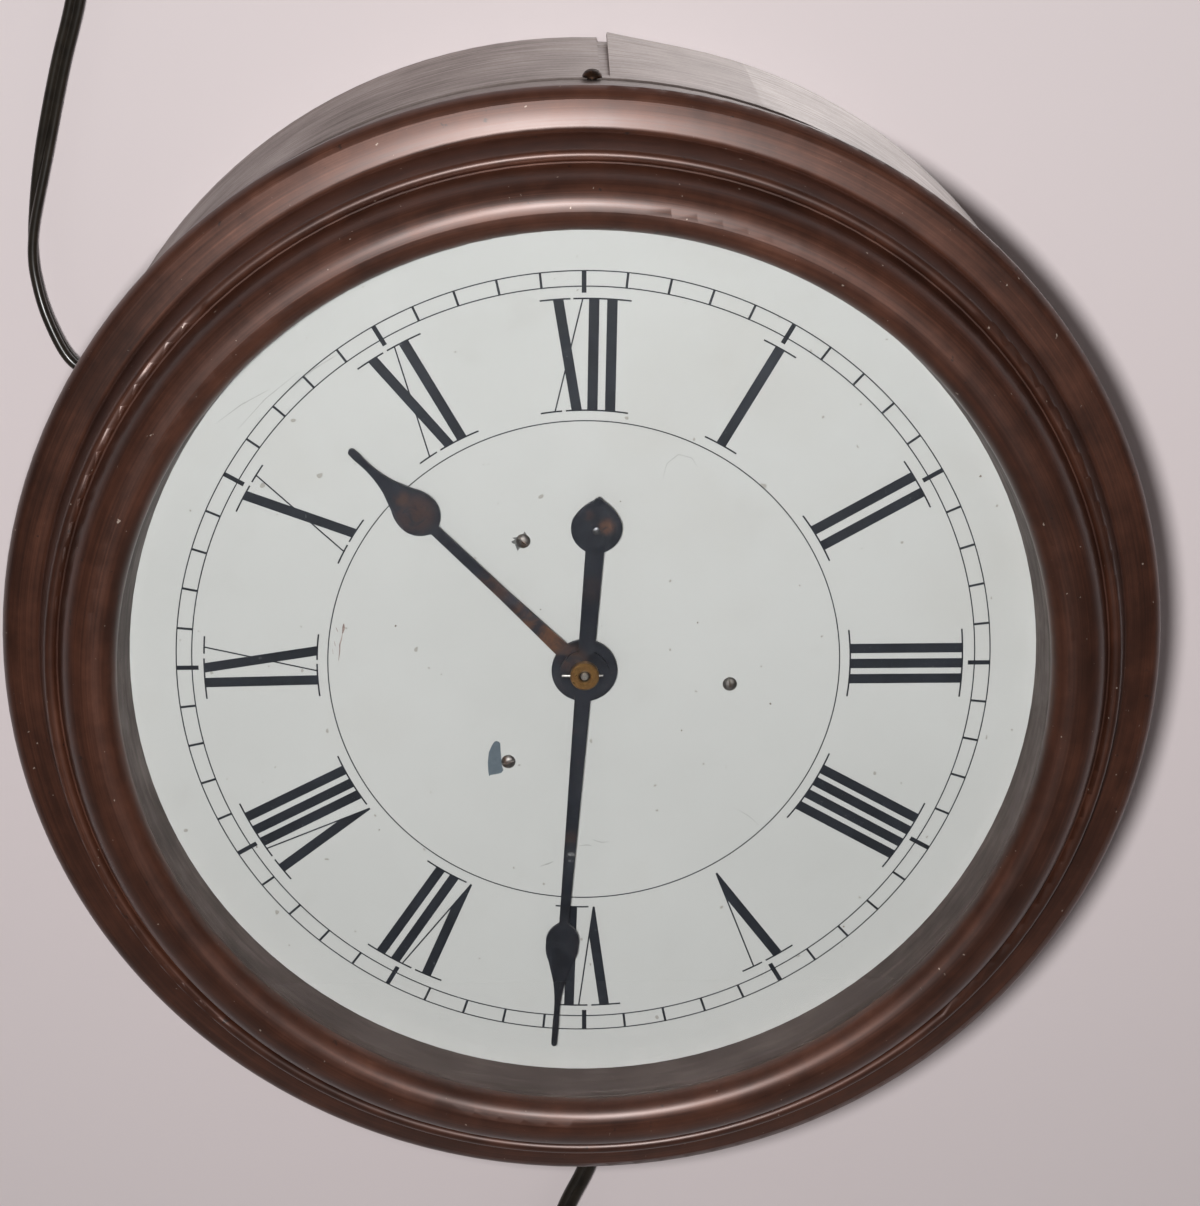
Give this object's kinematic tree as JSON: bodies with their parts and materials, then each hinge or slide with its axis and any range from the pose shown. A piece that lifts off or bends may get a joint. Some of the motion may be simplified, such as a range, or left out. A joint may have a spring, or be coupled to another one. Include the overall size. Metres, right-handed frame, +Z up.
{
  "type": "slave clock",
  "caption": "Round wall-hung electric secondary clock: spun bezel, glazed dial with two hands, sheet drum case and an impulse movement stepped by an electromagnet.",
  "frame": {"origin": "centre of the back pan's rear face, on the wall and on the dial's axis", "axes": "+Y out of the back, into the wall; +Z up; +X to the right as the dial is read, so the dial faces -Y"},
  "size_m": [0.3931, 0.1592, 0.5863],
  "materials": {
    "bezel_copper": "brown copper patina",
    "case_sheet": "grey-brown, matt",
    "inner_sheet": "grey-brown, matt",
    "dial_white": "matt enamel, aged",
    "glass_clear": "clear",
    "hand_blue": "blue-black with rust",
    "plate_brass": "grained",
    "screw_steel": "dull",
    "dark_steel": "browned",
    "iron_grey": "soft iron",
    "fibre_red": "vulcanised fibre",
    "winding_green": "silk-covered wire",
    "block_black": "moulded",
    "cord_brown": "glossy",
    "bush_black": "matt"
  },
  "bodies": {
    "case": {"armature_stop": "plate_brass", "back_pan": "case_sheet", "back_plate": "plate_brass", "bezel": "bezel_copper", "bezel_skirt": "case_sheet", "coil_bobbins": "fibre_red", "coil_leads": "winding_green", "coil_windings": "winding_green", "connector_screws": "screw_steel", "dial": "dial_white", "dial_frame": "inner_sheet", "dial_posts": "plate_brass", "dial_rim_nuts": "plate_brass", "dial_rim_screws": "screw_steel", "dial_screws": "screw_steel", "drum_band": "case_sheet", "feed_connector": "block_black", "feed_cord": "cord_brown", "feed_grommet": "bush_black", "feed_lead": "cord_brown", "front_pillar_screws": "screw_steel", "front_plate": "plate_brass", "glass": "glass_clear", "link_connector": "block_black", "link_cord": "cord_brown", "link_grommet": "bush_black", "link_lead": "cord_brown", "magnet_cores": "iron_grey", "magnet_yoke": "iron_grey", "minute_wheel_stud": "screw_steel", "pillars": "plate_brass", "post_nuts": "plate_brass", "rear_pillar_screws": "screw_steel", "seam_strap": "case_sheet", "sight_ring": "inner_sheet", "skirt_nuts": "dark_steel", "skirt_screws": "dark_steel", "stop_click_pin": "screw_steel", "terminal_block": "block_black", "terminal_screws": "plate_brass", "yoke_screws": "screw_steel"},
    "minute_train": {"minute_arbor": "screw_steel", "ratchet_wheel": "plate_brass", "cannon_pinion": "screw_steel", "cannon_pipe": "screw_steel", "minute_hand": "hand_blue", "counterpoise": "plate_brass", "hand_collet": "plate_brass", "taper_pin": "screw_steel"},
    "minute_wheel_set": {"minute_wheel": "plate_brass", "minute_pinion": "screw_steel"},
    "hour_set": {"hour_wheel": "plate_brass", "hour_pipe": "plate_brass", "hour_hand": "hand_blue"},
    "armature_set": {"armature": "iron_grey", "armature_arbor": "screw_steel", "drive_pawl_pin": "screw_steel"},
    "drive_pawl": {"drive_pawl": "screw_steel"},
    "stop_click": {"stop_click": "screw_steel"}
  },
  "joints": [
    {"name": "minute_hand_turn", "type": "hinge", "parent": "case", "child": "minute_train", "pos_m": [0, -0.134, 0], "axis": [0, 1, 0], "continuous": true},
    {"name": "minute_wheel_turn", "type": "hinge", "parent": "case", "child": "minute_wheel_set", "pos_m": [0.01273, -0.1255, -0.01273], "axis": [0, 1, 0], "continuous": true},
    {"name": "hour_hand_turn", "type": "hinge", "parent": "case", "child": "hour_set", "pos_m": [0, -0.134, 0], "axis": [0, 1, 0], "continuous": true},
    {"name": "armature_swing", "type": "hinge", "parent": "case", "child": "armature_set", "pos_m": [-0.03, -0.101, 0.027], "axis": [0, -1, 0], "range_deg": [0, 2.5]},
    {"name": "drive_pawl_swing", "type": "hinge", "parent": "armature_set", "child": "drive_pawl", "pos_m": [0.01661, -0.1028, 0.02273], "axis": [0, -1, 0], "range_deg": [0, 10]},
    {"name": "stop_click_swing", "type": "hinge", "parent": "case", "child": "stop_click", "pos_m": [-0.03044, -0.1028, 0.01053], "axis": [0, -1, 0], "range_deg": [0, 4]}
  ],
  "couplings": [
    {"joint": "minute_wheel_turn", "follows": "minute_hand_turn", "ratio": -0.33333},
    {"joint": "hour_hand_turn", "follows": "minute_hand_turn", "ratio": 0.083333}
  ]
}
